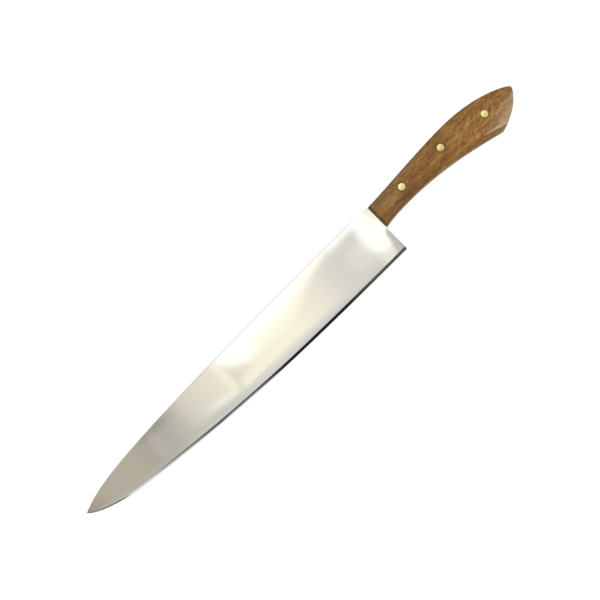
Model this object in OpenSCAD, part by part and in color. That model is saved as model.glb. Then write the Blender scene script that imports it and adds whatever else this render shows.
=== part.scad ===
// Carving knife with a taper ground blade, a full tang and two riveted wooden scales.
// The knife lies on its side: X runs from the tip to the butt, +Y is the spine side,
// and Z is the thickness. The outlines are drawn from the point where the knife's axis
// meets the front of the handle, half way through the steel.

/* [Blade] */
// Length of the blade, from the tip to the heel
blade_len = 264.8; // [240:0.1:290]
// Distance from the heel to the front of the handle, which a fillet rounds out
heel_gap = 0.9; // [0.5:0.1:2.5]
// Radius that rounds the corner of the heel
heel_r = 0.7; // [0.3:0.1:1.2]
// Height of the spine above the axis
spine_h = 12.7; // [12:0.1:14]
// Depth of the heel below the axis
heel_d = 24.8; // [21:0.1:30]
// Height of the tip above the axis
tip_h = 0.6; // [-3:0.1:4]
// Angle at which the spine leaves the tip
tip_spine_angle = 22; // [18:1:30]
// Length of spine behind the tip that keeps close to that angle
tip_spine_len = 21; // [14:0.5:28]
// Distance from the tip over which the spine rises
spine_rise_len = 38; // [28:1:60]
// Length of level spine in front of the handle
spine_level_len = 50; // [40:1:80]
// Length of spine that dips to the front of the handle
spine_dip_len = 18; // [14:1:40]
// Angle at which the edge leaves the tip
tip_edge_angle = 58; // [52:1:66]
// Length of edge behind the tip that keeps close to that angle
tip_edge_len = 5; // [3.8:0.1:7]
// Distance from the tip to the end of the edge's rounded belly
belly_len = 42; // [34:0.5:56]
// Depth of the edge below the axis at the end of its rounded belly
belly_d = 13.6; // [11.5:0.1:16]
// Angle of the edge to the axis at the end of its rounded belly
belly_angle = 6.6; // [5:0.1:8]
// Share of the belly's length over which it has nearly that angle
belly_fullness = 0.55; // [0.45:0.01:0.75]
// Thickness of the spine where it meets the handle
spine_t = 2.2; // [1.6:0.1:2.3]
// Thickness behind the cutting bevel at the heel
edge_t = 0.6; // [0.4:0.05:0.9]
// Thickness of the blade where it ends in the point
tip_t = 1; // [0.8:0.05:1.4]
// Width of the cutting bevel
bevel_w = 1.5; // [0.8:0.1:2.2]
// Chamfer that eases the corners of the spine
spine_ease = 0.25; // [0.1:0.05:0.4]

/* [Handle] */
// Length of the handle, from its front to the butt
handle_len = 117; // [108:0.1:130]
// Thickness of the handle, over both scales
handle_t = 16; // [14:0.5:20]
// Thickness of the tang
tang_t = 2.4; // [2.3:0.1:4]
// Height of the back above the axis at the front of the handle
front_top = 11.5; // [10.5:0.1:12]
// Angle at which the back rises from the front of the handle
front_angle = 2; // [0:0.5:5]
// Depth of the underside below the axis at the front of the handle
front_bottom = 6; // [5:0.1:8]
// Angle at which the underside rises from the front of the handle
flare_angle = 10.5; // [5:0.5:15]
// Distance from the front of the handle to the highest point of its back
back_x = 67.4; // [55:0.1:76]
// Height of the back's highest point above the axis
back_h = 14.7; // [14:0.1:18]
// Distance from the front of the handle to the shallowest point of the underside
waist_x = 22; // [16:0.5:30]
// Depth of the underside below the axis at its shallowest point
waist_d = 4.5; // [3:0.1:5]
// Distance from the butt to the lower corner of the handle
corner_inset = 22.4; // [18:0.1:28]
// Depth of the lower corner below the axis
corner_d = 15.4; // [13:0.1:18]
// Angle at which the underside falls to the lower corner
corner_fall = 15; // [11:0.5:19]
// Angle at which the end of the handle leaves the lower corner
end_rise = 24; // [16:1:32]
// Angle of the end of the handle at the butt's point
end_angle = 55; // [48:1:60]
// Angle of the back at the butt's point
back_angle = 29; // [24:1:36]
// Height of the butt's point above the axis
butt_h = 2.1; // [0:0.1:3]
// Length that rounding takes off the butt's point
nose_cut = 2; // [1:0.1:3]
// Radius that eases the back and the rear edges of a scale
edge_r = 0.9; // [0.5:0.1:1.4]
// Radius that eases the front edge of a scale
front_r = 0.5; // [0.3:0.1:1]
// Width of the rounded underside at the front of the handle
round_w = 3.4; // [2.4:0.1:4.2]
// Width of the flat facet of the underside at the lower corner
facet_w = 4.1; // [3:0.1:5]
// Depth of the rounded and faceted underside
facet_d = 4.4; // [3:0.1:5]
// Width over which the crease above the flat facet is rounded
crease_w = 1.3; // [0.6:0.1:2]
// Width above the crease over which the outer side rolls off towards it
roll_w = 6; // [3:0.5:8]
// Part of the facet's depth that the roll-off gives
roll_d = 0.9; // [0.3:0.1:1.2]
// Length of the flat facet in front of the lower corner
facet_len = 14; // [8:1:20]
// Length over which the flat facet fades into the rounding
facet_fade = 24; // [12:1:30]

/* [Rivets] */
// Diameter of the rivets
rivet_d = 4.76; // [4:0.01:6.4]
// Radial clearance between a rivet and its holes
rivet_clearance = 0.03; // [0.02:0.01:0.08]
// Rise of a rivet's peened end above its rim
rivet_crown = 0.15; // [0.05:0.05:0.4]
// Distance from the front of the handle to the front rivet
front_rivet_inset = 23.3; // [16:0.1:30]
// Distance from the butt to the rear rivet
rear_rivet_inset = 24.1; // [21:0.1:30]
// Height of the front rivet above the axis
front_rivet_h = 5.5; // [1:0.1:8]
// Height of the middle rivet above the axis
middle_rivet_h = 5.8; // [-1:0.1:9]
// Height of the rear rivet above the axis
rear_rivet_h = 1.2; // [-4:0.1:4]

/* [Hidden] */

steel = [0.80, 0.79, 0.75];
walnut = [0.50, 0.36, 0.20];
brass = [0.88, 0.80, 0.52];

// Steps along the blade: round the belly and the rise of the spine, then to the heel
belly_steps = 14;
edge_steps = 30;
// Steps round the corner of the heel, and their angle, which stops short of a right one
heel_steps = 4;
heel_step_angle = 18;
// Steps along the handle: round its front edge, to the lower corner, and to the butt
front_steps = 4;
handle_steps = 42;
end_steps = 24;
// Steps round the edges of a scale's cross-section
back_steps = 4;
roll_steps = 3;
under_steps = 12;
round_fn = 64;

// Block inside the blade and the tang that makes one piece of them
root_len = 3;
root_h = 8;
root_t = spine_t / 2;
// Half height of the small flat on the very end of the butt
nose_flat = 0.1;
// Angle by which the bevel's inner line starts below the spine at the tip
tip_margin_angle = 6;
// The most of a section's height that one rounded edge takes, near the butt's point
round_share = 0.45;
// Step in X from which the slope of an outline is measured
slope_step = 0.01;
// Length by which a hole's cutter passes the steel or the wood
hole_margin = 1;

tip_x = -heel_gap - blade_len;
scale_t = (handle_t - tang_t) / 2;
corner_x = handle_len - corner_inset;
apex_x = handle_len + nose_cut;
rear_rivet_x = handle_len - rear_rivet_inset;
middle_rivet_x = (front_rivet_inset + rear_rivet_x) / 2;
front_rivet_at = [front_rivet_inset, front_rivet_h];
middle_rivet_at = [middle_rivet_x, middle_rivet_h];
rear_rivet_at = [rear_rivet_x, rear_rivet_h];
rivets_at = [front_rivet_at, middle_rivet_at, rear_rivet_at];

highest_y = max(back_h, spine_h);
lowest_y = -max(heel_d, corner_d);

// Moves a shape so that the origin is under the middle of the knife that lies on its side
module place() {
    translate([-(tip_x + handle_len) / 2, -(highest_y + lowest_y) / 2, handle_t / 2])
        children();
}

// Direction at an angle to the X axis
function heading(angle) = [cos(angle), sin(angle)];

// Point at t on the cubic from a to d that leaves a towards b and comes to d from c
function curve(a, b, c, d, t) =
    pow(1 - t, 3) * a + 3 * pow(1 - t, 2) * t * b + 3 * (1 - t) * t * t * c + pow(t, 3) * d;

// Height at x on the cubic from p to q that leaves p at angle a and meets q at angle b
function blend(p, a, q, b, x) =
    let (w = q[0] - p[0], t = (x - p[0]) / w)
    p[1] * pow(1 - t, 2) * (1 + 2 * t) + q[1] * t * t * (3 - 2 * t)
    + w * t * (1 - t) * (tan(a) * (1 - t) - tan(b) * t);

// Runs smoothly from 0 to 1 while x runs from a to b
function ease(x, a, b) =
    let (t = max(0, min(1, (x - a) / (b - a))))
    t * t * (3 - 2 * t);

// Unit vector to the left of the way along a list of points, at its point i
function left_of(pts, i) =
    let (v = pts[min(i + 1, len(pts) - 1)] - pts[max(i - 1, 0)])
    [-v[1], v[0]] / norm(v);

// Solid through a list of rings, which all have as many points, with flat ends
module loft(rings) {
    n = len(rings[0]);
    last = (len(rings) - 1) * n;
    sides = [
        for (i = [0 : len(rings) - 2], k = [0 : n - 1])
            let (a = i * n + k, b = i * n + (k + 1) % n)
            each [[a, a + n, b], [b, a + n, b + n]]
    ];
    ends = [
        [for (k = [0 : n - 1]) k],
        [for (k = [n - 1 : -1 : 0]) last + k]
    ];
    polyhedron(points = [for (r = rings) each r], faces = concat(sides, ends));
}

// The spine, from where the bevel meets it behind the tip to the front of the handle
tip = [tip_x, tip_h];
spine_start = bevel_w / (3 * tip_spine_len);
level_steps = belly_steps + heel_steps + 1;
spine_pts = concat(
    [for (i = [0 : edge_steps])
        curve(
            tip,
            tip + tip_spine_len * heading(tip_spine_angle),
            [tip_x + spine_rise_len, spine_h],
            [-spine_level_len, spine_h],
            spine_start + (1 - spine_start) * i / edge_steps)],
    [for (i = [1 : level_steps])
        let (x = -spine_level_len * (1 - i / level_steps))
        [x, x < -spine_dip_len
            ? spine_h
            : blend([-spine_dip_len, spine_h], 0, [0, front_top], -front_angle, x)]]
);

// The cutting edge, from the tip round the belly and the heel's corner, and on to the handle
belly_end = [tip_x + belly_len, -belly_d];
heel_start = [-heel_gap - heel_r, -heel_d];
long_len = heel_start[0] - belly_end[0];
edge_pts = concat(
    [for (i = [0 : belly_steps])
        curve(
            tip,
            tip + tip_edge_len * heading(-tip_edge_angle),
            belly_end - belly_fullness * belly_len * heading(-belly_angle),
            belly_end,
            i / belly_steps)],
    [for (i = [1 : edge_steps])
        curve(
            belly_end,
            belly_end + long_len / 3 * heading(-belly_angle),
            heel_start - [long_len / 2, 0],
            heel_start,
            i / edge_steps)],
    [for (i = [1 : heel_steps])
        let (a = heel_step_angle * i)
        heel_start + heel_r * [sin(a), 1 - cos(a)]],
    [[0, heel_r - heel_d]]
);

// Half the thickness of the blade at a point: each flank is one plane, which tapers
// from the spine to the edge and from the handle to the tip
grind_slope = (spine_t - edge_t) / (front_top + heel_d - bevel_w);
taper_slope = (spine_t + grind_slope * (tip_h - front_top) - tip_t) / -tip_x;
function half_t(p) = (spine_t + grind_slope * (p[1] - front_top) + taper_slope * p[0]) / 2;

// Inner line of the bevel, and the line where the flank meets the eased spine
function bevel_pt(i) =
    i == 0
    ? tip + bevel_w * heading(tip_spine_angle - tip_margin_angle)
    : i < belly_steps + edge_steps
    ? edge_pts[i] + bevel_w * left_of(edge_pts, i)
    : [edge_pts[i][0], bevel_w - heel_d];
function flank_pt(i) = spine_pts[i] - spine_ease * left_of(spine_pts, i);

function at_height(p, z) = [p[0], p[1], z];

// Cross-section of the blade through point i of the edge and of the spine
function blade_ring(i) =
    let (b = bevel_pt(i), f = flank_pt(i), s = spine_pts[i], side = half_t(s) - spine_ease)
    [
        at_height(edge_pts[i], 0),
        at_height(b, -half_t(b)),
        at_height(f, -half_t(f)),
        at_height(s, -side),
        at_height(s, side),
        at_height(f, half_t(f)),
        at_height(b, half_t(b))
    ];

// The underside of the handle, and its line run on past the lower corner
function underside(x) =
    x < waist_x
    ? blend([0, -front_bottom], flare_angle, [waist_x, -waist_d], 0, x)
    : x < corner_x
    ? blend([waist_x, -waist_d], 0, [corner_x, -corner_d], -corner_fall, x)
    : -corner_d - tan(corner_fall) * (x - corner_x);

// The back and the lower outline of the handle, before the butt's point is rounded
function sharp_top(x) =
    x < back_x
    ? blend([0, front_top], front_angle, [back_x, back_h], 0, x)
    : blend([back_x, back_h], 0, [apex_x, butt_h], -back_angle, x);
function sharp_bottom(x) =
    x < corner_x
    ? underside(x)
    : blend([corner_x, -corner_d], end_rise, [apex_x, butt_h], end_angle, x);
function sharp_half(x) = (sharp_top(x) - sharp_bottom(x)) / 2;

// Rounding takes nothing at the lower corner and all of the half height at the butt
function half_h(x) =
    let (cut = sharp_half(handle_len) * ease(x, corner_x, handle_len))
    sqrt(max(pow(sharp_half(x), 2) - cut * cut, nose_flat * nose_flat));
function mid_y(x) = (sharp_top(x) + sharp_bottom(x)) / 2;
function top(x) = mid_y(x) + half_h(x);
function bottom(x) = mid_y(x) - half_h(x);

// How much longer a slanted outline is than its run in X
function top_stretch(x) = norm([slope_step, top(x) - top(x - slope_step)]) / slope_step;
function bottom_stretch(x) =
    norm([slope_step, bottom(x) - bottom(x - slope_step)]) / slope_step;

// Stations along the handle
handle_xs = concat(
    [for (i = [0 : front_steps]) front_r * (1 - cos(90 * i / front_steps))],
    [for (i = [1 : handle_steps]) front_r + (corner_x - front_r) * i / handle_steps],
    [for (i = [1 : end_steps]) corner_x + corner_inset * sin(90 * i / end_steps)]
);

handle_outline = concat(
    [for (x = handle_xs) [x, bottom(x)]],
    [for (i = [len(handle_xs) - 1 : -1 : 0]) [handle_xs[i], top(handle_xs[i])]]
);

// Depth of a rounded edge of radius r at distance d from the outline
function round_drop(d, r) = d < r ? r - sqrt(r * r - pow(r - d, 2)) : 0;

// Slope from 0 to 1 that starts with a rounded crease as wide as the share c
function creased(t, c) = (t < c ? t * t / (2 * c) : t - c / 2) / (1 - c / 2);

// Depth of the underside's rounding, which turns into a flat facet towards the corner with
// a slight roll-off above it
function facet_width(x) = round_w + (facet_w - round_w) * ease(x, 0, corner_x - facet_len);
function facet_drop(x, y) =
    let (
        above = max(0, y - underside(x)),
        away = 1 - min(1, above / facet_width(x)),
        rolled = 1 - min(1, above / (facet_width(x) + roll_w)),
        flat = ease(x, corner_x - facet_len - facet_fade, corner_x - facet_len),
        facet = (facet_d - roll_d) * creased(away, crease_w / facet_w) + roll_d * rolled * rolled
    )
    flat * facet + (1 - flat) * facet_d * (1 - sqrt(1 - away * away));

// Height above the tang of a scale's outer side, at a point of the handle
function scale_z(x, y) =
    scale_t - max(
        round_drop(x, front_r),
        round_drop((top(x) - y) / top_stretch(x), edge_r),
        round_drop((y - bottom(x)) / bottom_stretch(x), edge_r),
        facet_drop(x, y));

// Cross-section of a scale at x, from the back over the outer side to the underside
function scale_ring(x) =
    let (
        yt = top(x),
        yb = bottom(x),
        most = round_share * (yt - yb),
        back_w = min(most, edge_r * top_stretch(x)),
        rear_w = min(most, edge_r * bottom_stretch(x)),
        under_w = max(rear_w, min(underside(x) + facet_width(x) - yb, yt - yb - 2 * back_w)),
        crease_y = yb + under_w,
        over_w = min(roll_w, (yt - back_w - crease_y) / 2),
        ys = concat(
            [for (k = [0 : back_steps]) yt - back_w * (1 - cos(90 * k / back_steps))],
            [for (k = [roll_steps : -1 : 1]) crease_y + over_w * k / roll_steps],
            [for (k = [under_steps : -1 : 0]) yb + under_w * (1 - cos(90 * k / under_steps))])
    )
    concat([[x, yt, 0]], [for (y = ys) [x, y, scale_z(x, y)]], [[x, yb, 0]]);

// A scale as it lies on the upper side of the tang
module scale_blank() {
    translate([0, 0, tang_t / 2])
        loft([for (x = handle_xs) scale_ring(x)]);
}

// Cutters for the rivet holes through a thickness
module rivet_holes(thickness) {
    for (at = rivets_at)
        translate([at[0], at[1], 0])
            cylinder(
                h = thickness + 2 * hole_margin,
                d = rivet_d + 2 * rivet_clearance,
                center = true,
                $fn = round_fn);
}

// Round pin through the handle with slightly domed ends, whose crowns are flush
module rivet(at) {
    dome_r = (pow(rivet_d / 2, 2) + pow(rivet_crown, 2)) / (2 * rivet_crown);
    translate([at[0], at[1], 0])
        intersection() {
            cylinder(h = handle_t, d = rivet_d, center = true, $fn = round_fn);
            translate([0, 0, handle_t / 2 - dome_r])
                sphere(r = dome_r, $fn = 2 * round_fn);
            translate([0, 0, dome_r - handle_t / 2])
                sphere(r = dome_r, $fn = 2 * round_fn);
        }
}

// What is cut from the blade between the heel and the handle
module heel_cut() {
    top_y = -front_bottom - heel_gap;
    linear_extrude(2 * spine_t, center = true) {
        translate([0, top_y])
            circle(heel_gap, $fn = round_fn);
        translate([-heel_gap, top_y - heel_d])
            square([2 * heel_gap, heel_d]);
    }
}

module blade() {
    color(steel)
        place()
            difference() {
                union() {
                    difference() {
                        loft([for (i = [0 : len(edge_pts) - 1]) blade_ring(i)]);
                        heel_cut();
                    }
                    cube([2 * root_len, root_h, root_t], center = true);
                    linear_extrude(tang_t, center = true)
                        polygon(handle_outline);
                }
                rivet_holes(tang_t);
            }
}

module upper_scale() {
    color(walnut)
        place()
            difference() {
                scale_blank();
                rivet_holes(handle_t);
            }
}

module lower_scale() {
    color(walnut)
        place()
            mirror([0, 0, 1])
                difference() {
                    scale_blank();
                    rivet_holes(handle_t);
                }
}

module front_rivet() {
    color(brass)
        place()
            rivet(front_rivet_at);
}

module middle_rivet() {
    color(brass)
        place()
            rivet(middle_rivet_at);
}

module rear_rivet() {
    color(brass)
        place()
            rivet(rear_rivet_at);
}

blade();
upper_scale();
lower_scale();
front_rivet();
middle_rivet();
rear_rivet();
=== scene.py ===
"""Looks of the carving knife: it lies on its side on a white floor, seen from straight above."""

import math
from types import SimpleNamespace

import bmesh
import bpy
import numpy as np
from mathutils import Euler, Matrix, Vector, noise


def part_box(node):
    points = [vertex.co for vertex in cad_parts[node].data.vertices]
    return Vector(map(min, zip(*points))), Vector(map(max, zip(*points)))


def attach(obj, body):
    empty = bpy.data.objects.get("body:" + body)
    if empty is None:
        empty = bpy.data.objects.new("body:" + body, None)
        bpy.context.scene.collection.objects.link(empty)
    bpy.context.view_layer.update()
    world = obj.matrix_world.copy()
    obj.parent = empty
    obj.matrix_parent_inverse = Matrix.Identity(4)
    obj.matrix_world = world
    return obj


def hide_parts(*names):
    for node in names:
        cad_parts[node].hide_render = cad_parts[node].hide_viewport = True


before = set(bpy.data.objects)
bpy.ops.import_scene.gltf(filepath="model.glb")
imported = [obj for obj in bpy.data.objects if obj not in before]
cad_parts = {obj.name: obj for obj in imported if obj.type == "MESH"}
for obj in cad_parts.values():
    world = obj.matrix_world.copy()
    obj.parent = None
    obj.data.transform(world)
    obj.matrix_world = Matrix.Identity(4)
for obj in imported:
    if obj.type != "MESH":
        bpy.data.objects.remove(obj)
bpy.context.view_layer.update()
MM = 0.001

# Where things are: the front of the handle, the knife's axis and the middle of its thickness
blade_low, blade_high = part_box("blade")
HEEL_D = 24.8 * MM
HANDLE_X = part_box("upper_scale")[0].x
AXIS_Y = blade_low.y + HEEL_D
MIDDLE_Z = (blade_low.z + blade_high.z) / 2
RIVETS = ["front_rivet", "middle_rivet", "rear_rivet"]


def in_frame(x, y, z=0.0):
    """Point of the frame, given from the handle's front, the axis and the middle of the steel."""
    return Vector((HANDLE_X + x, AXIS_Y + y, MIDDLE_Z + z))


def add_object(name, data):
    made = bpy.data.objects.new(name, data)
    bpy.context.scene.collection.objects.link(made)
    return made


# Camera: straight above, turned so that the knife crosses the picture from corner to corner
VIEW_WIDTH = 384 * MM
CAMERA_RISE = 600 * MM
CAMERA_FOOT = in_frame(-72.73 * MM, 0.45 * MM)
CAMERA_TURN = math.radians(-45)
SENSOR = 36.0


def make_camera():
    data = bpy.data.cameras.new("camera")
    data.sensor_width = SENSOR
    data.lens = SENSOR * CAMERA_RISE / VIEW_WIDTH
    data.clip_start = 0.01
    data.clip_end = 20
    camera = add_object("camera", data)
    camera.location = CAMERA_FOOT + Vector((0, 0, CAMERA_RISE))
    camera.rotation_euler = Euler((0, 0, CAMERA_TURN))
    bpy.context.scene.camera = camera


# Node trees
class Graph:
    """A node tree that put() fills: an input takes a number, a colour, a node or an output."""

    def __init__(self, owner):
        owner.use_nodes = True
        self.tree = owner.node_tree
        self.tree.nodes.clear()

    def put(self, kind, inputs=None, **settings):
        made = self.tree.nodes.new("ShaderNode" + kind)
        for key, value in settings.items():
            setattr(made, key, value)
        for key, value in (inputs or {}).items():
            if isinstance(value, bpy.types.Node):
                value = value.outputs[0]
            if isinstance(value, bpy.types.NodeSocket):
                self.tree.links.new(value, made.inputs[key])
            else:
                made.inputs[key].default_value = value
        return made

    def math(self, operation, a, b=0.0, c=0.0):
        return self.put("Math", {0: a, 1: b, 2: c}, operation=operation)

    def add(self, a, b):
        return self.math("ADD", a, b)

    def minus(self, a, b):
        return self.math("SUBTRACT", a, b)

    def times(self, first, *factors):
        made = first
        for factor in factors:
            made = self.math("MULTIPLY", made, factor)
        return made

    def divide(self, a, b):
        return self.math("DIVIDE", a, b)

    def larger(self, a, b):
        return self.math("MAXIMUM", a, b)

    def unsigned(self, a):
        return self.math("ABSOLUTE", a)

    def line(self, value, slope, start):
        """Start plus slope times the value."""
        return self.math("MULTIPLY_ADD", value, slope, start)

    def smooth(self, value, low, high, to_low=0.0, to_high=1.0):
        """Runs smoothly from to_low to to_high while value runs from low to high."""
        made = self.put("MapRange", {0: value, 1: low, 2: high, 3: to_low, 4: to_high})
        made.interpolation_type = "SMOOTHSTEP"
        return made

    def band(self, value, low, high, soft_low, soft_high):
        """1 from low to high, and smoothly down to 0 over a soft length on either side."""
        rise = self.smooth(value, low - soft_low, low)
        return self.times(rise, self.smooth(value, high, high + soft_high, 1, 0))

    def place(self):
        """The point's place in the frame, in metres."""
        return self.put("TexCoord").outputs["Object"]

    def normal(self):
        """The three parts of the surface's direction, without bumps."""
        return self.parts(self.put("NewGeometry").outputs["Normal"])

    def parts(self, vector):
        return self.put("SeparateXYZ", {0: vector}).outputs[:]

    def stretched(self, place, along, across, offset=(0, 0, 0)):
        """Texture space in which one unit is 1 / along metres of length and 1 / across of width."""
        return self.put(
            "Mapping", {"Vector": place, "Location": offset, "Scale": (along, across, across)})

    def noise(self, place, scale=1.0, detail=2.0, rough=0.5):
        return self.put("TexNoise", {
            "Vector": place, "Scale": scale, "Detail": detail, "Roughness": rough})

    def ramp(self, value, *stops):
        """Colour that follows value through stops of (position, colour)."""
        made = self.put("ValToRGB", {0: value})
        points = made.color_ramp.elements
        while len(points) < len(stops):
            points.new(0.5)
        if len(stops) == 1:
            points.remove(points[1])
        for point, (position, colour) in zip(points, stops):
            point.position = position
            point.color = colour if len(colour) == 4 else (*colour, 1)
        return made

    def mix(self, share, a, b, blend_type="MIX"):
        made = self.put("Mix", {0: share, 6: a, 7: b}, data_type="RGBA", blend_type=blend_type)
        return made.outputs[2]

    def grey_of(self, level):
        """Grey colour that follows a level."""
        return self.put("CombineColor", {0: level, 1: level, 2: level})

    def finish(self, shader, kind="Material"):
        self.put("Output" + kind, {"Surface": shader})


def grey(level):
    return (level, level, level, 1)


def new_material(name):
    made = bpy.data.materials.new(name)
    return made, Graph(made)


# Steel: the levels between which its smudges vary, and its rims and spine, which are rougher and
# carry painted shade
STEEL_DULL = (0.84, 0.83, 0.80, 1)
STEEL_BRIGHT = (0.87, 0.86, 0.835, 1)
STEEL_RIM_SHADE = (0.56, 0.55, 0.53, 1)
STEEL_ROUGH = (0.035, 0.06)
RIM_ROUGH = 0.4
LINE_DEPTH = 0.5e-6


def steel():
    """Ground and buffed steel with fine polishing lines, and with rougher rims and spine that carry
    painted shade.
    """
    material, g = new_material("steel")
    place = g.place()
    lines = g.noise(g.stretched(place, along=18, across=2600), detail=3, rough=0.6)
    broad_lines = g.noise(g.stretched(place, along=7, across=400), detail=2)
    smudge = g.noise(g.stretched(place, along=28, across=70), detail=3, rough=0.55)
    height = g.add(lines, g.times(broad_lines, 5.0))
    bump = g.put("Bump", {"Height": height, "Strength": 1.0, "Distance": LINE_DEPTH})
    colour = g.mix(smudge, STEEL_DULL, STEEL_BRIGHT)
    rough = g.smooth(g.add(smudge, g.times(lines, 0.5)), 0.45, 1.05, *STEEL_ROUGH)
    rim = g.smooth(g.unsigned(g.normal()[2]), 0.3, 0.6, 1, 0)
    rough = g.larger(rough, g.times(rim, RIM_ROUGH))
    # Painted shade: the steel's colour is darker where it turns sideways, at its rims and spine
    colour = g.mix(rim, colour, STEEL_RIM_SHADE)
    g.finish(g.put("BsdfPrincipled", {
        "Base Color": colour, "Metallic": 1.0, "Roughness": rough, "Normal": bump}))
    return material


# Walnut: its colours, from the darkest grain to the palest at their tones, and its painted sheen
# and highlight
WALNUT_TONES = (
    (0.05, (0.085, 0.027, 0.003)),
    (0.30, (0.195, 0.078, 0.011)),
    (0.53, (0.300, 0.140, 0.024)),
    (0.95, (0.560, 0.310, 0.095)))
SPINE_TINT = (1.0, 0.975, 0.90, 1)
FRONT_BROWN = (0.245, 0.142, 0.050, 1)
# Painted sheen towards the lower corner, a painted highlight along its crease, and painted sheen on
# the underside
PAINTED_SHEEN = (0.43, 0.295, 0.165, 1)
PAINTED_SHEEN_PALEST = (0.60, 0.46, 0.32, 1)
PAINTED_CREASE_HIGHLIGHT = (0.60, 0.46, 0.31, 1)
PAINTED_UNDERSIDE_SHEEN = (0.34, 0.235, 0.12, 1)
WOOD_ROUGH = (0.27, 0.35)
# The end grain at the front is darkened to this share, partly as its own darker colour and partly
# as painted shade, and is rough
END_SHADE = 0.62
END_ROUGH = 0.95
# Levels of the pores' noise between which the wood closes over them
PORE_RIM = (0.30, 0.42)
WOOD_SHINE = 0.28
GRAIN_DEPTH = 0.04 * MM

# How far broad bends shift the grain, and the slant and size of the figure near the butt
GRAIN_SHIFT = 7 * MM
FIGURE_SLANT = math.radians(38)
FIGURE_SIZE = (6 * MM, 1.7 * MM, 4 * MM)

# Two growth rings that show at the front, a light one over a dark one, each as its middle's
# height over the axis, half its width, how much lighter it is, and where it ends along x
GROWTH_RINGS = (
    (3.7 * MM, 2.8 * MM, 0.22, 28 * MM),
    (-0.3 * MM, 1.9 * MM, -0.28, 37 * MM))
RING_BEND = 3 * MM
RING_CLIMB = 0.03
RING_FADE = 16 * MM

# The painted sheen grows, and is palest, between these places on a slanted way to the lower corner
SHEEN_SLANT = -3.0
SHEEN_SPAN = (98 * MM, 124 * MM)
PALEST_SHEEN_SPAN = (118 * MM, 136 * MM)
# The painted highlight follows the crease of the underside, which passes this point and falls
# towards the butt by this slope
CREASE_X = 91.3 * MM
CREASE_Y = -10.45 * MM
CREASE_FALL = 0.262

# Parts of the surface's direction between which it turns to the blade, to the flat of the handle,
# to the fingers and to the spine side
TURNED_TO_BLADE = (-0.9, -0.5)
TURNED_TO_FLAT = (0.8, 0.95)
TURNED_TO_FINGERS = (-0.95, -0.6)
TURNED_TO_SPINE = (0.15, 0.75)

# The dark rim round a rivet: its shift from the rivet's middle, and from where to where it fades
RIM_SHIFT = Vector((-0.25 * MM, -0.2 * MM, 0))
RIM_START = 0.2 * MM
RIM_END = 1.1 * MM


def wood_fields(g):
    """What the walnut's nodes share: place on the handle, direction, and noises of the grain."""
    place = g.place()
    x, y = g.parts(place)[:2]
    bend = g.noise(g.stretched(place, along=16, across=34), detail=1)
    shift = g.put("CombineXYZ", {1: bend, 2: bend})
    shift = g.put("VectorMath", {0: shift, 1: (GRAIN_SHIFT,) * 3}, operation="MULTIPLY")
    warped = g.put("VectorMath", {0: place, 1: shift}, operation="ADD")
    slanted = g.put(
        "Mapping", {"Vector": warped, "Rotation": (0, 0, FIGURE_SLANT), "Scale": FIGURE_SIZE},
        vector_type="TEXTURE")
    return SimpleNamespace(
        x=x, y=y, along=g.minus(x, HANDLE_X), across=g.minus(y, AXIS_Y), normal=g.normal(),
        bend=bend,
        rings=g.noise(g.stretched(warped, along=14, across=190), detail=2, rough=0.6),
        streaks=g.noise(g.stretched(warped, along=42, across=800), detail=2, rough=0.6),
        flecks=g.noise(
            g.stretched(warped, along=230, across=760, offset=(3, 1, 5)), detail=2, rough=0.55),
        pores=g.noise(g.stretched(warped, along=190, across=3400), detail=1),
        figure=g.noise(slanted, detail=2),
        patches=g.noise(g.stretched(place, along=55, across=90, offset=(7, 2, 1)), detail=1))


def wood_tone(g, wood):
    """How light the wood is, from its grain, its slanted figure and two growth rings."""
    tone = g.smooth(wood.along, 0.0, 75 * MM, 0.36, 0.56)
    for grain, share in (
            (wood.rings, 0.7), (wood.streaks, 0.5), (wood.flecks, 0.9), (wood.patches, 0.4)):
        tone = g.add(tone, g.times(g.minus(grain, 0.5), share))
    # Darker by the spine near the butt
    by_spine = g.smooth(wood.across, 2 * MM, 6 * MM, 0, 0.13)
    tone = g.minus(tone, g.times(by_spine, g.smooth(wood.along, 70 * MM, 92 * MM)))
    curly = g.times(
        g.smooth(wood.along, 45 * MM, 90 * MM), g.smooth(wood.patches, 0.40, 0.58, 0.25, 1.0))
    tone = g.add(tone, g.times(g.minus(wood.figure, 0.5), curly))
    height = g.add(wood.across, g.times(g.minus(wood.bend, 0.5), RING_BEND))
    height = g.minus(height, g.times(wood.along, RING_CLIMB))
    for middle, half, lighter, end in GROWTH_RINGS:
        off = g.unsigned(g.minus(height, middle))
        ring = g.smooth(off, 0.2 * half, half, lighter, 0)
        tone = g.add(tone, g.times(ring, g.smooth(wood.along, end - RING_FADE, end, 1, 0)))
    return tone


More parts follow.
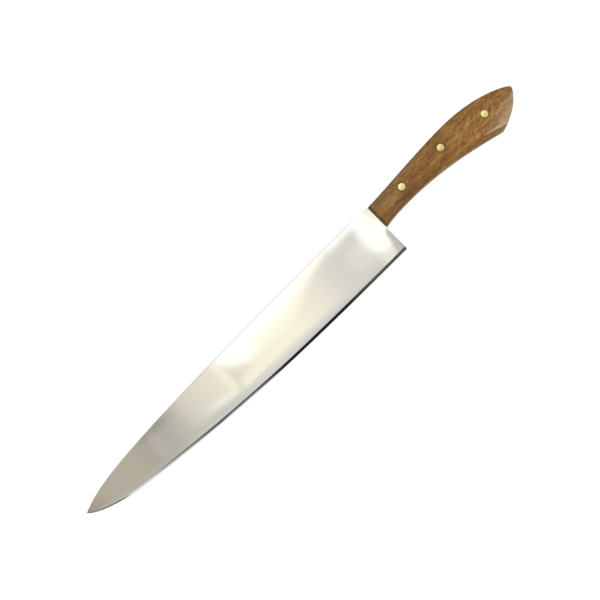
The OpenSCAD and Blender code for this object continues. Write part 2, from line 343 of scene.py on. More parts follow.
def paint_sheen(g, wood, colour):
    """Paints sheen towards the lower corner, a painted highlight along the crease there, and
    painted sheen on the underside.
    """
    # Painted sheen on the flat, mottled by the flecks and palest at the lower corner
    flat = g.smooth(g.unsigned(wood.normal[2]), *TURNED_TO_FLAT)
    corner = g.line(wood.across, SHEEN_SLANT, wood.along)
    sheen_share = g.times(g.smooth(corner, *SHEEN_SPAN, 0, 0.6), g.smooth(wood.flecks, 0.2, 0.6), flat)
    colour = g.mix(sheen_share, colour, PAINTED_SHEEN)
    palest = g.times(g.smooth(corner, *PALEST_SHEEN_SPAN, 0, 0.5), flat)
    colour = g.mix(palest, colour, PAINTED_SHEEN_PALEST)
    # Painted highlight along the crease over the lower corner
    fall = g.line(g.minus(wood.along, CREASE_X), CREASE_FALL, -CREASE_Y)
    off = g.unsigned(g.add(wood.across, fall))
    off = g.times(off, g.smooth(wood.along, 84 * MM, 95 * MM, 1.3, 0.6))
    crease_highlight = g.times(
        g.smooth(off, 0.15 * MM, 0.85 * MM, 0.9, 0),
        g.band(wood.along, 89 * MM, 97 * MM, 8 * MM, 4 * MM))
    colour = g.mix(crease_highlight, colour, PAINTED_CREASE_HIGHLIGHT)
    # Painted sheen, paler and greyer, on surfaces turned down to the fingers
    underside = g.smooth(wood.normal[1], *TURNED_TO_FINGERS, 0.35, 0)
    return g.mix(underside, colour, PAINTED_UNDERSIDE_SHEEN)


def rivet_rims(g, wood):
    """Darkening of the wood close round each rivet."""
    here = g.put("CombineXYZ", {0: wood.x, 1: wood.y})
    rims = []
    for name in RIVETS:
        low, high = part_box(name)
        middle = (low + high) / 2 + RIM_SHIFT
        radius = (high.x - low.x) / 2
        away = g.put("VectorMath", {0: here, 1: (*middle.xy, 0)}, operation="DISTANCE")
        rims.append(g.smooth(
            away.outputs["Value"], radius + RIM_START, radius + RIM_END, 0.5, 1.0))
    return g.times(*rims)


def wood_shade(g, wood, end_grain_and_shade):
    """Darkness of the pores, the rivets' rims, the front end with its edge, where it is partly
    painted shade, and painted shade on the spine side.
    """
    edge_tone = g.smooth(wood.across, -1 * MM, 3 * MM, 0.7, 0.9)
    edge = g.smooth(wood.along, 0, 1.3 * MM, edge_tone, 1.0)
    edge = g.larger(edge, g.smooth(wood.normal[0], *TURNED_TO_BLADE, 0.95, 0.0))
    # Painted shade on the surfaces turned to the spine side, which darkens the handle's top edge
    spine_side_shade = g.smooth(wood.normal[1], *TURNED_TO_SPINE, 1.0, 0.5)
    pores = g.smooth(wood.pores, *PORE_RIM, 0.62, 1.0)
    return g.times(pores, rivet_rims(g, wood), end_grain_and_shade, edge, spine_side_shade)


def walnut():
    """Oiled walnut: fine lengthwise grain, painted sheen and a painted highlight at the lower
    corner, dark at the front end, partly from painted shade.
    """
    material, g = new_material("walnut")
    wood = wood_fields(g)
    colour = g.ramp(wood_tone(g, wood), *WALNUT_TONES)
    # Redder towards the spine, and a duller brown at the front
    colour = g.mix(g.smooth(wood.across, -3 * MM, 8 * MM), colour, SPINE_TINT, "MULTIPLY")
    colour = g.mix(g.smooth(wood.along, 5 * MM, 50 * MM, 0.35, 0), colour, FRONT_BROWN)
    # Painted sheen and highlight towards the lower corner of the handle
    colour = paint_sheen(g, wood, colour)
    # The front end facing the blade: darker end grain with painted shade
    end_grain_and_shade = g.smooth(wood.normal[0], *TURNED_TO_BLADE, END_SHADE, 1.0)
    colour = g.mix(1.0, colour, g.grey_of(wood_shade(g, wood, end_grain_and_shade)), "MULTIPLY")
    rough = g.smooth(wood.rings, 0.3, 0.7, *WOOD_ROUGH)
    rough = g.larger(rough, g.smooth(end_grain_and_shade, END_SHADE, 0.9, END_ROUGH, 0.3))
    height = g.add(g.times(wood.streaks, 0.5), g.smooth(wood.pores, *PORE_RIM))
    height = g.add(height, g.times(wood.flecks, 3.0))
    bump = g.put("Bump", {"Height": height, "Strength": 0.6, "Distance": GRAIN_DEPTH})
    g.finish(g.put("BsdfPrincipled", {
        "Base Color": colour, "Roughness": rough,
        "Specular IOR Level": WOOD_SHINE, "Normal": bump}))
    return material


# Brass: the levels between which its stains vary, and the painted shade of the middle and rear
# rivets
BRASS_DULL = (0.72, 0.60, 0.27, 1)
BRASS_BRIGHT = (0.82, 0.72, 0.39, 1)
BRASS_PAINTED_SHADE = (0.86, 0.84, 0.74, 1)
BRASS_ROUGH = (0.3, 0.42)
SCRATCH_DEPTH = 0.8e-6


def brass():
    """Brass that was sanded flush with the wood and buffed."""
    material, g = new_material("brass")
    place = g.place()
    scratches = g.noise(g.stretched(place, along=300, across=4200), detail=2)
    stain = g.noise(place, 900, detail=3)
    bump = g.put("Bump", {"Height": scratches, "Strength": 1.0, "Distance": SCRATCH_DEPTH})
    colour = g.mix(stain, BRASS_DULL, BRASS_BRIGHT)
    # Painted shade: the middle rivet is the darkest and the front one the lightest
    along = g.minus(g.parts(place)[0], HANDLE_X)
    rivet_shade = g.minus(
        g.smooth(along, 30 * MM, 55 * MM), g.smooth(along, 70 * MM, 90 * MM, 0, 0.5))
    colour = g.mix(rivet_shade, colour, BRASS_PAINTED_SHADE, "MULTIPLY")
    g.finish(g.put("BsdfPrincipled", {
        "Base Color": colour, "Metallic": 1.0, "Normal": bump,
        "Roughness": g.smooth(stain, 0.3, 0.7, *BRASS_ROUGH)}))
    return material


# The blade: the same curves as the CAD model's, with finer steps
HEEL_GAP = 0.9 * MM
HEEL_R = 0.7 * MM
TIP_X = blade_low.x - HANDLE_X
SPINE_H = 12.7 * MM
TIP_H = 0.6 * MM
TIP_SPINE_ANGLE = 22
TIP_SPINE_LEN = 21 * MM
SPINE_RISE_LEN = 38 * MM
SPINE_LEVEL_LEN = 50 * MM
SPINE_DIP_LEN = 18 * MM
TIP_EDGE_ANGLE = 58
TIP_EDGE_LEN = 5 * MM
BELLY_LEN = 42 * MM
BELLY_D = 13.6 * MM
BELLY_ANGLE = 6.6
BELLY_FULLNESS = 0.55
SPINE_T = 2.2 * MM
EDGE_T = 0.6 * MM
TIP_T = 1.0 * MM
BEVEL_W = 1.5 * MM
TIP_BEVEL_SHARE = 0.5
TIP_BEVEL_LEN = 50 * MM
TIP_MARGIN_ANGLE = 6
SPINE_EASE = 0.25 * MM
FRONT_TOP = 11.5 * MM
FRONT_ANGLE = 2
FRONT_BOTTOM = 6.0 * MM

GRIND_SLOPE = (SPINE_T - EDGE_T) / (FRONT_TOP + HEEL_D - BEVEL_W)
TAPER_SLOPE = (SPINE_T + GRIND_SLOPE * (TIP_H - FRONT_TOP) - TIP_T) / -TIP_X

BELLY_STEPS = 44
LONG_STEPS = 150
CORNER_STEPS = 10
FLANK_STEPS = 30
# Width of the blade in front of the handle that takes on the outline of the heel
HEEL_REACH = 14 * MM
# Buffing rounds the flank off towards the heel and towards the bevel, and leaves slight waves
HEEL_ROLL_LEN = 5.5 * MM
HEEL_ROLL_SLOPE = 0.035
HEEL_ROLL_FADE = (-13 * MM, -4 * MM)
EDGE_ROLL_LEN = 7 * MM
EDGE_ROLL_SLOPE = 0.012
BEVEL_ROUND = 0.6 * MM
WAVE_LEN = 34 * MM
WAVE_H = 0.008 * MM
# Behind the tip and before the handle the waves fade out
TIP_CALM_LEN = 30 * MM
FRONT_CALM_LEN = 12 * MM
# Width of the flank beside the bevel over which its shading turns towards the bevel's
SHOULDER_W = 0.55 * MM
# Points that are closer than this are one, and the CAD model is cut this far behind the front
JOIN_DIST = 0.001 * MM
TANG_CUT = 0.02 * MM


def heading(angle):
    return np.array([math.cos(math.radians(angle)), math.sin(math.radians(angle))])


def curve(a, b, c, d, t):
    """Points at t on the cubic from a to d that leaves a towards b and comes to d from c."""
    a, b, c, d = (np.array(p, float) for p in (a, b, c, d))
    t = np.asarray(t)[:, None]
    return (1 - t) ** 3 * a + 3 * (1 - t) ** 2 * t * b + 3 * (1 - t) * t * t * c + t ** 3 * d


def ease(x, a, b):
    """Runs smoothly from 0 to 1 while x runs from a to b."""
    t = np.clip((x - a) / (b - a), 0, 1)
    return t * t * (3 - 2 * t)


def lefts(points):
    """Unit vectors to the left of the way along the points."""
    way = np.gradient(points, axis=0)
    way /= np.linalg.norm(way, axis=1)[:, None]
    return np.stack([-way[:, 1], way[:, 0]], axis=1)


def edge_outline():
    """The cutting edge from the tip to the heel, with the heel's round corner."""
    tip = np.array([TIP_X, TIP_H])
    belly_end = np.array([TIP_X + BELLY_LEN, -BELLY_D])
    heel = np.array([-HEEL_GAP - HEEL_R, -HEEL_D])
    long_len = heel[0] - belly_end[0]
    belly = curve(
        tip, tip + TIP_EDGE_LEN * heading(-TIP_EDGE_ANGLE),
        belly_end - BELLY_FULLNESS * BELLY_LEN * heading(-BELLY_ANGLE), belly_end,
        np.linspace(0, 1, BELLY_STEPS + 1))
    straight = curve(
        belly_end, belly_end + long_len / 3 * heading(-BELLY_ANGLE),
        heel - (long_len / 2, 0), heel, np.linspace(0, 1, LONG_STEPS + 1))
    turn = np.linspace(0, math.pi / 2, CORNER_STEPS + 1)[:, None]
    corner = heel + HEEL_R * np.hstack([np.sin(turn), 1 - np.cos(turn)])
    return np.vstack([belly, straight[1:], corner[1:]])


def spine_outline():
    """The spine from the tip to the handle, in front of which it dips, in as many points."""
    tip = np.array([TIP_X, TIP_H])
    rise = curve(
        tip, tip + TIP_SPINE_LEN * heading(TIP_SPINE_ANGLE),
        (TIP_X + SPINE_RISE_LEN, SPINE_H), (-SPINE_LEVEL_LEN, SPINE_H),
        np.linspace(BEVEL_W / (3 * TIP_SPINE_LEN), 1, LONG_STEPS + 1))
    x = -SPINE_LEVEL_LEN * (1 - np.linspace(0, 1, BELLY_STEPS + CORNER_STEPS + 1))
    t = np.clip((x + SPINE_DIP_LEN) / SPINE_DIP_LEN, 0, 1)
    fall = math.tan(math.radians(FRONT_ANGLE)) * SPINE_DIP_LEN
    dip = SPINE_H * (1 - t) ** 2 * (1 + 2 * t) + FRONT_TOP * t * t * (3 - 2 * t)
    dip += t * t * (1 - t) * fall
    level = np.stack([x, dip], axis=1)
    return np.vstack([rise, level[1:]])


def heel_x(y):
    """Where the blade ends at height y: at the handle, or below the fillet at the heel."""
    under = -FRONT_BOTTOM - y
    if under <= 0:
        return 0.0
    if under >= HEEL_GAP:
        return -HEEL_GAP
    return -math.sqrt(HEEL_GAP ** 2 - (HEEL_GAP - under) ** 2)


def flank_rows():
    """Shares of the flank's height, from the bevel to the spine, and finer round the fillet."""
    height = FRONT_TOP - SPINE_EASE + HEEL_D - BEVEL_W
    low = (HEEL_D - BEVEL_W - FRONT_BOTTOM - HEEL_GAP) / height
    high = low + HEEL_GAP / height
    turn = np.linspace(0, math.pi / 2, CORNER_STEPS + 1)
    return np.concatenate([
        [0, SHOULDER_W / height],
        np.linspace(0, low, FLANK_STEPS // 2 + 1)[1:],
        (low + (high - low) * np.sin(turn))[1:],
        np.linspace(high, 1, FLANK_STEPS // 2 + 1)[1:]])


def flank_z(p, from_bevel):
    """Half the thickness at p, that far from the bevel, as grinding and buffing leave it."""
    flat = (SPINE_T + GRIND_SLOPE * (p[1] - FRONT_TOP) + TAPER_SLOPE * p[0]) / 2
    past = max(0.0, p[0] + HEEL_GAP + HEEL_ROLL_LEN)
    below = 1 - ease(p[1], *HEEL_ROLL_FADE)
    heel_roll = HEEL_ROLL_SLOPE * below * past ** 2 / (2 * HEEL_ROLL_LEN)
    edge_roll = EDGE_ROLL_SLOPE * max(0.0, EDGE_ROLL_LEN - from_bevel) ** 2 / (2 * EDGE_ROLL_LEN)
    calm = ease(p[0], TIP_X, TIP_X + TIP_CALM_LEN) * (1 - ease(p[0], -FRONT_CALM_LEN, 0))
    wave = WAVE_H * noise.noise(Vector((p[0] / WAVE_LEN, 2 * p[1] / WAVE_LEN, 0)))
    return flat - heel_roll - edge_roll + wave * calm


def bevel_line(edge):
    """The bevel's inner line, which comes closer to the edge towards the tip."""
    grown = ease(edge[:, 0], TIP_X, TIP_X + TIP_BEVEL_LEN)
    widths = BEVEL_W * (TIP_BEVEL_SHARE + (1 - TIP_BEVEL_SHARE) * grown)
    inner = edge + widths[:, None] * lefts(edge)
    inner[0] = edge[0] + BEVEL_W * TIP_BEVEL_SHARE * heading(TIP_SPINE_ANGLE - TIP_MARGIN_ANGLE)
    inner[-CORNER_STEPS - 1:, 0] = edge[-CORNER_STEPS - 1:, 0]
    inner[-CORNER_STEPS - 1:, 1] = BEVEL_W - HEEL_D
    return inner


def flank_sections():
    """Points of one side of the blade, section by section, from the edge to the spine."""
    edge = edge_outline()
    spine = spine_outline()
    inner = bevel_line(edge)
    shoulder = spine - SPINE_EASE * lefts(spine)
    shoulder[-1] = spine[-1] - (0, SPINE_EASE)
    last_low, last_high = inner[-1], shoulder[-1]
    kept = 1 - BEVEL_ROUND / BEVEL_W
    shares = flank_rows()
    sections = []
    for cut, low, high, top in zip(edge, inner, shoulder, spine):
        reach = np.linalg.norm(high - low)
        side = [(*cut, 0.0), (*(cut + (low - cut) * kept), flank_z(low, 0.0) * kept)]
        taken = ease(high[0], -HEEL_REACH, 0)
        for share in shares:
            p = low + (high - low) * share
            last = last_low + (last_high - last_low) * share
            p[0] += taken * (heel_x(last[1]) - last[0])
            side.append((*p, flank_z(p, share * reach)))
        side.append((*top, flank_z(top, EDGE_ROLL_LEN) - SPINE_EASE))
        sections.append(side)
    return sections


def loft_blade():
    """The blade in front of the handle, as a loft of closed sections."""
    mesh = bmesh.new()
    rings = []
    for side in flank_sections():
        up = [mesh.verts.new(in_frame(*p)) for p in side]
        down = [mesh.verts.new(in_frame(x, y, -z)) for x, y, z in side[1:]]
        rings.append(up + down[::-1])
    count = len(rings[0])
    half = count // 2
    # Crisp at the cutting edge and along both sides of the spine's eased corners
    crisp = {0, half - 1, half, half + 1, half + 2}
    for a, b in zip(rings, rings[1:]):
        for k in range(count):
            n = (k + 1) % count
            mesh.faces.new((a[k], a[n], b[n], b[k]))
            if k in crisp:
                mesh.edges.get((a[k], b[k])).smooth = False
    for ring in (rings[0], rings[-1]):
        for k in range(1, half):
            mesh.faces.new((ring[k], ring[k + 1], ring[-k - 1], ring[-k]))
        mesh.faces.new((ring[0], ring[1], ring[-1]))
        for k in range(count):
            mesh.edges.get((ring[k], ring[(k + 1) % count])).smooth = False
    bmesh.ops.recalc_face_normals(mesh, faces=mesh.faces[:])
    for face in mesh.faces:
        face.smooth = True
    return mesh


def cut_tang():
    """The CAD model's tang, closed where it is cut and face to face with the end of the loft."""
    tang = bmesh.new()
    tang.from_mesh(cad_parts["blade"].data)
    bmesh.ops.remove_doubles(tang, verts=tang.verts[:], dist=JOIN_DIST)
    bmesh.ops.bisect_plane(
        tang, geom=tang.verts[:] + tang.edges[:] + tang.faces[:],
        plane_co=in_frame(TANG_CUT, 0), plane_no=(1, 0, 0), clear_inner=True)
    rim = [edge for edge in tang.edges if edge.is_boundary]
    for vert in {vert for edge in rim for vert in edge.verts}:
        vert.co.x = HANDLE_X
    bmesh.ops.holes_fill(tang, edges=rim)
    data = bpy.data.meshes.new("tang_part")
    tang.to_mesh(data)
    return data


def make_blade():
    """The whole steel: the loft joined to the tang."""
    mesh = loft_blade()
    mesh.from_mesh(cut_tang())
    data = bpy.data.meshes.new("steel_blade")
    mesh.to_mesh(data)
    return add_object("steel_blade", data)


# Facets of a CAD piece that meet at less than this angle are shaded as one surface
SMOOTH_UP_TO = math.radians(30)


def smooth_finish():
    """Modifier tree that joins a CAD piece's facets and shades them smooth up to crisp edges."""
    tree = bpy.data.node_groups.new("smooth_finish", "GeometryNodeTree")
    tree.interface.new_socket("Geometry", in_out="INPUT", socket_type="NodeSocketGeometry")
    tree.interface.new_socket("Geometry", in_out="OUTPUT", socket_type="NodeSocketGeometry")

    def put(kind, **inputs):
        made = tree.nodes.new(kind)
        for key, value in inputs.items():
            socket = made.inputs[key.replace("_", " ")]
            if isinstance(value, bpy.types.NodeSocket):
                tree.links.new(value, socket)
            else:
                socket.default_value = value
        return made

    start = put("NodeGroupInput")
    joined = put("GeometryNodeMergeByDistance", Geometry=start.outputs[0], Distance=JOIN_DIST)
    plain = put("GeometryNodeRemoveAttribute", Geometry=joined.outputs[0], Name="custom_normal")
    soft = put("GeometryNodeSetShadeSmooth", Geometry=plain.outputs[0], Shade_Smooth=True)
    turn = put("GeometryNodeInputMeshEdgeAngle")
    flat = put("ShaderNodeMath")
    flat.operation = "LESS_THAN"
    tree.links.new(turn.outputs["Unsigned Angle"], flat.inputs[0])
    flat.inputs[1].default_value = SMOOTH_UP_TO
    crisp = put(
        "GeometryNodeSetShadeSmooth", Geometry=soft.outputs[0], Shade_Smooth=flat.outputs[0])
    crisp.domain = "EDGE"
    tree.links.new(crisp.outputs[0], put("NodeGroupOutput").inputs[0])
    return tree


# The room: floor, ceiling, cards and sky
FLANK_LEAN = (-TAPER_SLOPE / 2, -GRIND_SLOPE / 2)


def mirrored(x, y, rise):
    """Point at that height above x, y that the camera sees mirrored in the flank there."""
    on_blade = in_frame(x, y)
    away = on_blade - CAMERA_FOOT
    return Vector((
        on_blade.x + rise * (away.x / CAMERA_RISE + 2 * FLANK_LEAN[0]),
        on_blade.y + rise * (away.y / CAMERA_RISE + 2 * FLANK_LEAN[1]),
        MIDDLE_Z + rise))


def make_card(name, low, high, material):
    """Card between two opposite corners, level if they are equally high and upright if not."""
    data = bpy.data.meshes.new(name)
    data.from_pydata(
        [low, (high.x, low.y, low.z), high, (low.x, high.y, high.z)], [], [(0, 1, 2, 3)])
    uv = data.uv_layers.new(name="card")
    for loop, place in zip(uv.data, ((0, 0), (1, 0), (1, 1), (0, 1))):
        loop.uv = place
    card = add_object(name, data)
    card.data.materials.append(material)
    card.visible_camera = False


# The ceiling is laid out in millimetres of the blade's side, as the camera sees it mirrored there:
# x is 0 at the handle and falls towards the tip, and y is 0 on the axis and rises to the spine
CEILING_RISE = 1.3
CEILING_X = (-300, 150)
CEILING_Y = (-95, 62)
CEILING_GLOW = 1.3
# Where the window begins, at once and not softly
WINDOW_X = -139.8
# From the tip to the butt: tan with one paler strip, rising to cream, and dim beyond the lamp
CEILING_TONES = (
    (-270, (0.40, 0.355, 0.29)), (-262, (0.42, 0.375, 0.31)), (-252, (0.50, 0.46, 0.38)),
    (-244, (0.53, 0.49, 0.41)), (-222, (0.53, 0.49, 0.41)), (-209, (0.49, 0.45, 0.39)),
    (-206, (0.50, 0.46, 0.41)), (-204, (0.57, 0.53, 0.49)), (-201, (0.57, 0.53, 0.49)),
    (-198.5, (0.50, 0.47, 0.42)), (-190, (0.54, 0.51, 0.46)), (-180, (0.63, 0.605, 0.54)),
    (-174, (0.75, 0.72, 0.63)), (-167, (0.82, 0.79, 0.69)), (-152, (0.90, 0.865, 0.745)),
    (-145, (0.95, 0.91, 0.78)), (-142, (1.15, 1.10, 0.92)), (WINDOW_X - 0.6, (1.13, 1.08, 0.91)),
    (WINDOW_X + 0.6, (0.82, 0.775, 0.65)), (-124, (0.95, 0.90, 0.75)), (-104, (1.00, 0.95, 0.79)),
    (-84, (1.05, 1.01, 0.85)), (-70, (1.00, 0.955, 0.825)), (-57, (0.92, 0.88, 0.79)),
    (-46, (0.82, 0.79, 0.74)), (-40, (0.79, 0.77, 0.73)), (-20, (0.78, 0.76, 0.72)),
    (5, (0.80, 0.78, 0.72)), (24, (0.60, 0.58, 0.52)), (45, (0.45, 0.44, 0.41)))
WALL_TONES = (
    (-205, (0.53, 0.51, 0.46)), (-174, (0.63, 0.63, 0.59)), (-155, (0.68, 0.69, 0.65)),
    (-132, (0.82, 0.82, 0.78)), (-60, (0.84, 0.83, 0.78)), (0, (0.72, 0.70, 0.66)),
    (24, (0.50, 0.49, 0.45)))
WHITE = (1.30, 1.28, 1.22)
WALL_GREY = (0.70, 0.70, 0.69)
CORNER_WHITE = (2.4, 2.35, 2.25)
CREAM = (1.10, 1.07, 0.89)
WEDGE_CREAM = (1.14, 1.12, 1.02)
STREAK_CREAM = (0.95, 0.93, 0.84)
WINDOW_CREAM = (1.17, 1.13, 0.92)
LOBE_CREAM = (1.0, 0.98, 0.87)
LAMP_CREAM = (1.03, 1.01, 0.83)
LAMP_HALO = (0.88, 0.87, 0.82)
DUSK = (0.62, 0.61, 0.57)
SPINE_SHADE = 0.78
# The wedge of cream runs along this line
WEDGE_SLOPE = -0.19
WEDGE_START = -39.5


def shade(colour):
    """Colour that the ceiling shows at its own strength as the one that is given."""
    return tuple(level / CEILING_GLOW for level in colour)


def tones(g, u, stops):
    """Colour from end to end of the ceiling, over which u runs from 0 to 1."""
    low, high = CEILING_X
    return g.ramp(u, *[((x - low) / (high - low), shade(colour)) for x, colour in stops])


def lay(g, base, share, colour):
    """Lays a zone of one colour over what is there."""
    return g.mix(share, base, (*shade(colour), 1))


def lay_wall(g, u, x, y, base):
    """Grey wall beyond the cutting edge, and light that the handle's lower corner mirrors."""
    past = g.minus(g.smooth(x, -150, -112, -10.5, -17), y)
    base = g.mix(g.smooth(past, -1.5, 4.5), base, tones(g, u, WALL_TONES))
    deep = g.times(g.smooth(past, 6, 16), g.band(x, -160, 5, 35, 20))
    base = lay(g, base, deep, WALL_GREY)
    corner = g.times(g.smooth(x, 80, 105), g.smooth(y, -28, -8, 1, 0))
    return lay(g, base, corner, CORNER_WHITE)


def lay_cream(g, x, y, base):
    """Cream light along the edge side, and a wedge and streaks of it before the window."""
    cream = g.times(g.band(x, -135, -96, 3, 34), g.band(y, -15, -10, 3, 3), 0.9)
    base = lay(g, base, cream, CREAM)
    off = g.minus(y, g.line(x, WEDGE_SLOPE, WEDGE_START))
    wedge = g.times(g.smooth(g.unsigned(off), 0.5, 3.0, 1, 0), g.band(x, -155, -145, 14, 5))
    base = lay(g, base, wedge, WEDGE_CREAM)
    drawn_out = g.put("CombineXYZ", {0: g.times(x, 0.02), 1: g.times(off, 0.8)})
    streaks = g.smooth(g.noise(drawn_out, detail=1), 0.5, 0.7, 0, 0.22)
    streaks = g.times(streaks, g.band(x, -196, -150, 10, 30), g.band(off, -6, 3, 3, 3))
    return lay(g, base, streaks, STREAK_CREAM)


def lay_window(g, x, y, base):
    """Window: a strip along the spine rounder at its end towards the tip, with a cream edge."""
    strip_low = g.line(g.larger(g.add(x, 86), 0.0), 0.2, 2.5)
    strip_low = g.add(strip_low, g.smooth(x, -80, -66, 0, 0.5))
    above = g.divide(g.minus(y, strip_low), g.smooth(x, -95, -50, 4.0, 1.0))
    lit = g.times(g.smooth(x, -131, -119), g.smooth(x, -42, -32, 1, 0))
    base = lay(g, base, g.times(g.band(above, -1.4, 0.5, 1.8, 1.0), lit), WINDOW_CREAM)
    strip = g.times(g.smooth(above, -1, 1), lit)
    beside_x = g.unsigned(g.divide(g.add(x, 122.5), 14.5))
    beside_y = g.unsigned(g.divide(g.minus(y, 8.5), 10.5))
    reach = g.add(g.math("POWER", beside_x, 1.5), g.math("POWER", beside_y, 1.5))
    patch = g.smooth(reach, 0.6, 1.8, 1, 0)
    patch = g.larger(patch, g.times(g.smooth(y, 6, 10), g.smooth(x, -118, -112, 1, 0)))
    begun = g.smooth(x, WINDOW_X - 0.5, WINDOW_X + 0.5)
    return lay(g, base, g.times(g.larger(strip, patch), begun), WHITE)


def lay_lamp(g, x, y, base):
    """Lamp over the heel, with a halo, a fainter lobe and an arm along the spine."""
    halo = g.times(g.band(x, -28, -21, 10, 4), g.band(y, -11, -2, 5, 4), 0.8)
    base = lay(g, base, halo, LAMP_HALO)
    lobe = g.times(g.band(x, -14, -5, 5, 6), g.band(y, -38, 12, 14, 5))
    base = lay(g, base, lobe, LOBE_CREAM)
    # The lamp's near side falls back on either side of its middle
    to_edge = g.larger(g.minus(-5, y), 0.0)
    to_spine = g.larger(g.add(y, 5), 0.0)
    back = g.add(g.times(to_edge, to_edge, 0.05), g.times(to_spine, to_spine, 0.015))
    lamp = g.times(
        g.smooth(g.minus(x, back), -21.5, -15.5), g.smooth(x, 1, 8, 1, 0), g.smooth(y, -18.5, -13))
    arm = g.times(g.smooth(y, 7.5, 10.5), g.band(x, -35, 0, 6, 6))
    base = lay(g, base, g.larger(lamp, arm), WHITE)
    warm = g.times(g.smooth(x, -8, -3), g.smooth(y, -2, 6), 0.9)
    return lay(g, base, warm, LAMP_CREAM)


def lay_dusk(g, x, y, base):
    """Dusk beyond the lamp's lower corner."""
    beyond = g.minus(g.times(x, 0.9), g.times(y, 0.43))
    dusk = g.times(
        g.smooth(beyond, 2.2, 11.5, 0, 0.72), g.smooth(y, -12, -7, 1, 0),
        g.smooth(x, 10, 30, 1, 0))
    return lay(g, base, dusk, DUSK)


def ceiling():
    """Tan over the tip and cream over the rest, with a window, a lamp and a grey wall."""
    material, g = new_material("ceiling")
    u, v = g.parts(g.put("TexCoord").outputs["UV"])[:2]
    x = g.line(u, CEILING_X[1] - CEILING_X[0], CEILING_X[0])
    y = g.line(v, CEILING_Y[1] - CEILING_Y[0], CEILING_Y[0])
    colour = tones(g, u, CEILING_TONES)
    # Darker beyond the spine, over the tan part
    shaded = g.times(g.smooth(y, 3, 9), g.band(x, -205, -192, 8, 14))
    colour = g.mix(shaded, colour, g.mix(1.0, colour, grey(SPINE_SHADE), "MULTIPLY"))
    colour = lay_wall(g, u, x, y, colour)
    colour = lay_cream(g, x, y, colour)
    colour = lay_window(g, x, y, colour)
    colour = lay_lamp(g, x, y, colour)
    colour = lay_dusk(g, x, y, colour)
    g.finish(g.put("Emission", {"Color": colour, "Strength": CEILING_GLOW}))
    return material


# Cards: two opposite corners of each in metres, and its glow from end to end along x as
# (x, level, how solid). Five level cards show in the cutting bevel and in the round beside it,
# and an upright one shines on the crease over the lower corner of the handle
CARD_Z = 1.0
CARDS = {
    "bevel_card": ((-0.44, -0.62, CARD_Z), (0.30, -0.24, CARD_Z), (
        (-0.44, 0.8, 1), (-0.40, 0.6, 1), (-0.35, 0.55, 1), (-0.30, 0.36, 1), (-0.26, 0.28, 1),
        (-0.235, 0.48, 1), (-0.18, 0.5, 1), (-0.11, 0.02, 1), (0.05, 0.02, 1), (0.11, 0.10, 1))),
    "line_card": ((-0.44, -0.24, CARD_Z), (0.30, -0.135, CARD_Z), (
        (-0.44, 0.6, 1), (-0.36, 0.015, 1), (0.05, 0.015, 1), (0.12, 0.08, 1))),
    "heel_card": ((0.30, -0.41, CARD_Z), (0.60, -0.28, CARD_Z), ((0.30, 0.05, 1),)),
    "tip_card": ((-1.60, -1.40, CARD_Z), (-0.44, -0.24, CARD_Z), (
        (-0.60, 0.18, 1), (-0.53, 0.8, 1))),
    "tip_line_card": ((-1.20, -0.24, CARD_Z), (-0.44, -0.17, CARD_Z), (
        (-0.56, 0.15, 1), (-0.48, 0.6, 1))),
    "crease_lamp": ((0.08, -1.20, 0.75), (0.56, -1.20, 1.90), (
        (0.10, 1.0, 0), (0.16, 1.0, 1), (0.44, 1.0, 1), (0.54, 1.0, 0)))}


def card_finish(name, low, high, stops):
    """Glow that follows the stops between the ends low and high, clear where it isn't solid."""
    material, g = new_material(name)
    u = g.parts(g.put("TexCoord").outputs["UV"])[0]
    top = max(level for x, level, solid in stops)
    ramp = g.ramp(u, *[
        ((x - low) / (high - low), (*[level / top] * 3, solid)) for x, level, solid in stops])
    light = g.put("Emission", {"Color": ramp.outputs["Color"], "Strength": top})
    g.finish(g.put("MixShader", {
        0: ramp.outputs["Alpha"], 1: g.put("BsdfTransparent"), 2: light}))
    return material


def make_cards():
    """The ceiling and the cards, which the camera itself doesn't see."""
    low = mirrored(CEILING_X[0] * MM, CEILING_Y[0] * MM, CEILING_RISE)
    high = mirrored(CEILING_X[1] * MM, CEILING_Y[1] * MM, CEILING_RISE)
    make_card("ceiling", low, high, ceiling())
    for name, (first, second, stops) in CARDS.items():
        finish = card_finish(name, first[0], second[0], stops)
        make_card(name, Vector(first), Vector(second), finish)


LAMP_ENERGY = 0.5
LAMP_SPREAD = math.radians(60)
LAMP_LEAN = math.radians(-38)


def make_lamp():
    """Soft light from beyond the spine, which the metal doesn't mirror."""
    data = bpy.data.lights.new("soft_lamp", "SUN")
    data.energy = LAMP_ENERGY
    data.angle = LAMP_SPREAD
    lamp = add_object("soft_lamp", data)
    lamp.rotation_euler = (LAMP_LEAN, 0, 0)
    lamp.visible_glossy = False


SKY_ON_MATT = 0.85
PANEL_SCALE = (2.6, 2.6, 0.8)


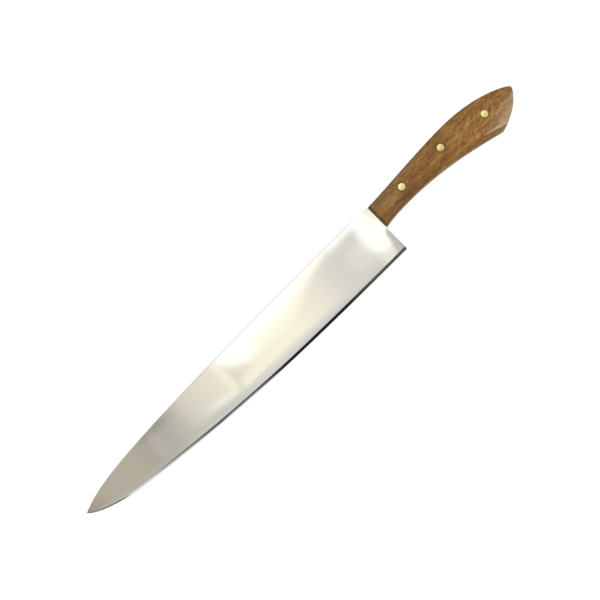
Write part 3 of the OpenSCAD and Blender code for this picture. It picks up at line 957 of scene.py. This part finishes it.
def make_sky():
    """Light from above that fades to a dark horizon in metal; the camera itself sees white."""
    world = bpy.data.worlds.new("sky")
    bpy.context.scene.world = world
    g = Graph(world)
    way = g.put("TexCoord").outputs["Generated"]
    up = g.parts(way)[2]
    # Soft panels, brighter or darker, part the sides of the room
    panels = g.noise(g.put("Mapping", {"Vector": way, "Scale": PANEL_SCALE}), detail=1)
    panels = g.smooth(panels, 0.38, 0.60, 0.45, 1.5)
    sides = g.times(panels, g.smooth(up, 0.0, 0.85, 0.16, 0.55))
    light = g.grey_of(g.add(sides, g.smooth(up, 0.84, 0.98, 0, 2.3)))
    path = g.put("LightPath")
    level = g.mix(path.outputs["Is Diffuse Ray"], light, grey(SKY_ON_MATT))
    level = g.mix(path.outputs["Is Camera Ray"], level, grey(1.0))
    g.finish(g.put("Background", {"Color": level, "Strength": 1.0}), "World")


FLOOR_HALF = 3.0
FLOOR_GREY = 0.55
FLOOR_GLOW = 1.31
FLOOR_SEEN = 0.7


def make_floor():
    """White floor: what the camera and glossy surfaces see of it glows, and keeps the shadow."""
    s = FLOOR_HALF
    data = bpy.data.meshes.new("floor")
    data.from_pydata([(-s, -s, 0), (s, -s, 0), (s, s, 0), (-s, s, 0)], [], [(0, 1, 2, 3)])
    floor = add_object("floor", data)
    material, g = new_material("floor")
    path = g.put("LightPath")
    seen = g.larger(path.outputs["Is Camera Ray"], path.outputs["Is Glossy Ray"])
    matt = g.put("BsdfDiffuse", {"Color": grey(FLOOR_GREY)})
    shine = g.put("Emission", {"Color": grey(1.0), "Strength": FLOOR_GLOW})
    g.finish(g.put("MixShader", {0: g.times(seen, FLOOR_SEEN), 1: matt, 2: shine}))
    data.materials.append(material)


def dress(piece, material):
    piece.data.materials.clear()
    piece.data.materials.append(material)


make_camera()
steel_finish = steel()
wood_finish = walnut()
brass_finish = brass()

steel_blade = make_blade()
dress(steel_blade, steel_finish)
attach(steel_blade, "root")
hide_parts("blade")
smoothing = smooth_finish()
for name in ("upper_scale", "lower_scale"):
    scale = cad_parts[name]
    dress(scale, wood_finish)
    scale.modifiers.new("smooth_finish", "NODES").node_group = smoothing
for name in RIVETS:
    dress(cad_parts[name], brass_finish)

make_cards()
make_lamp()
make_sky()
make_floor()
bpy.context.scene.view_settings.view_transform = "Standard"
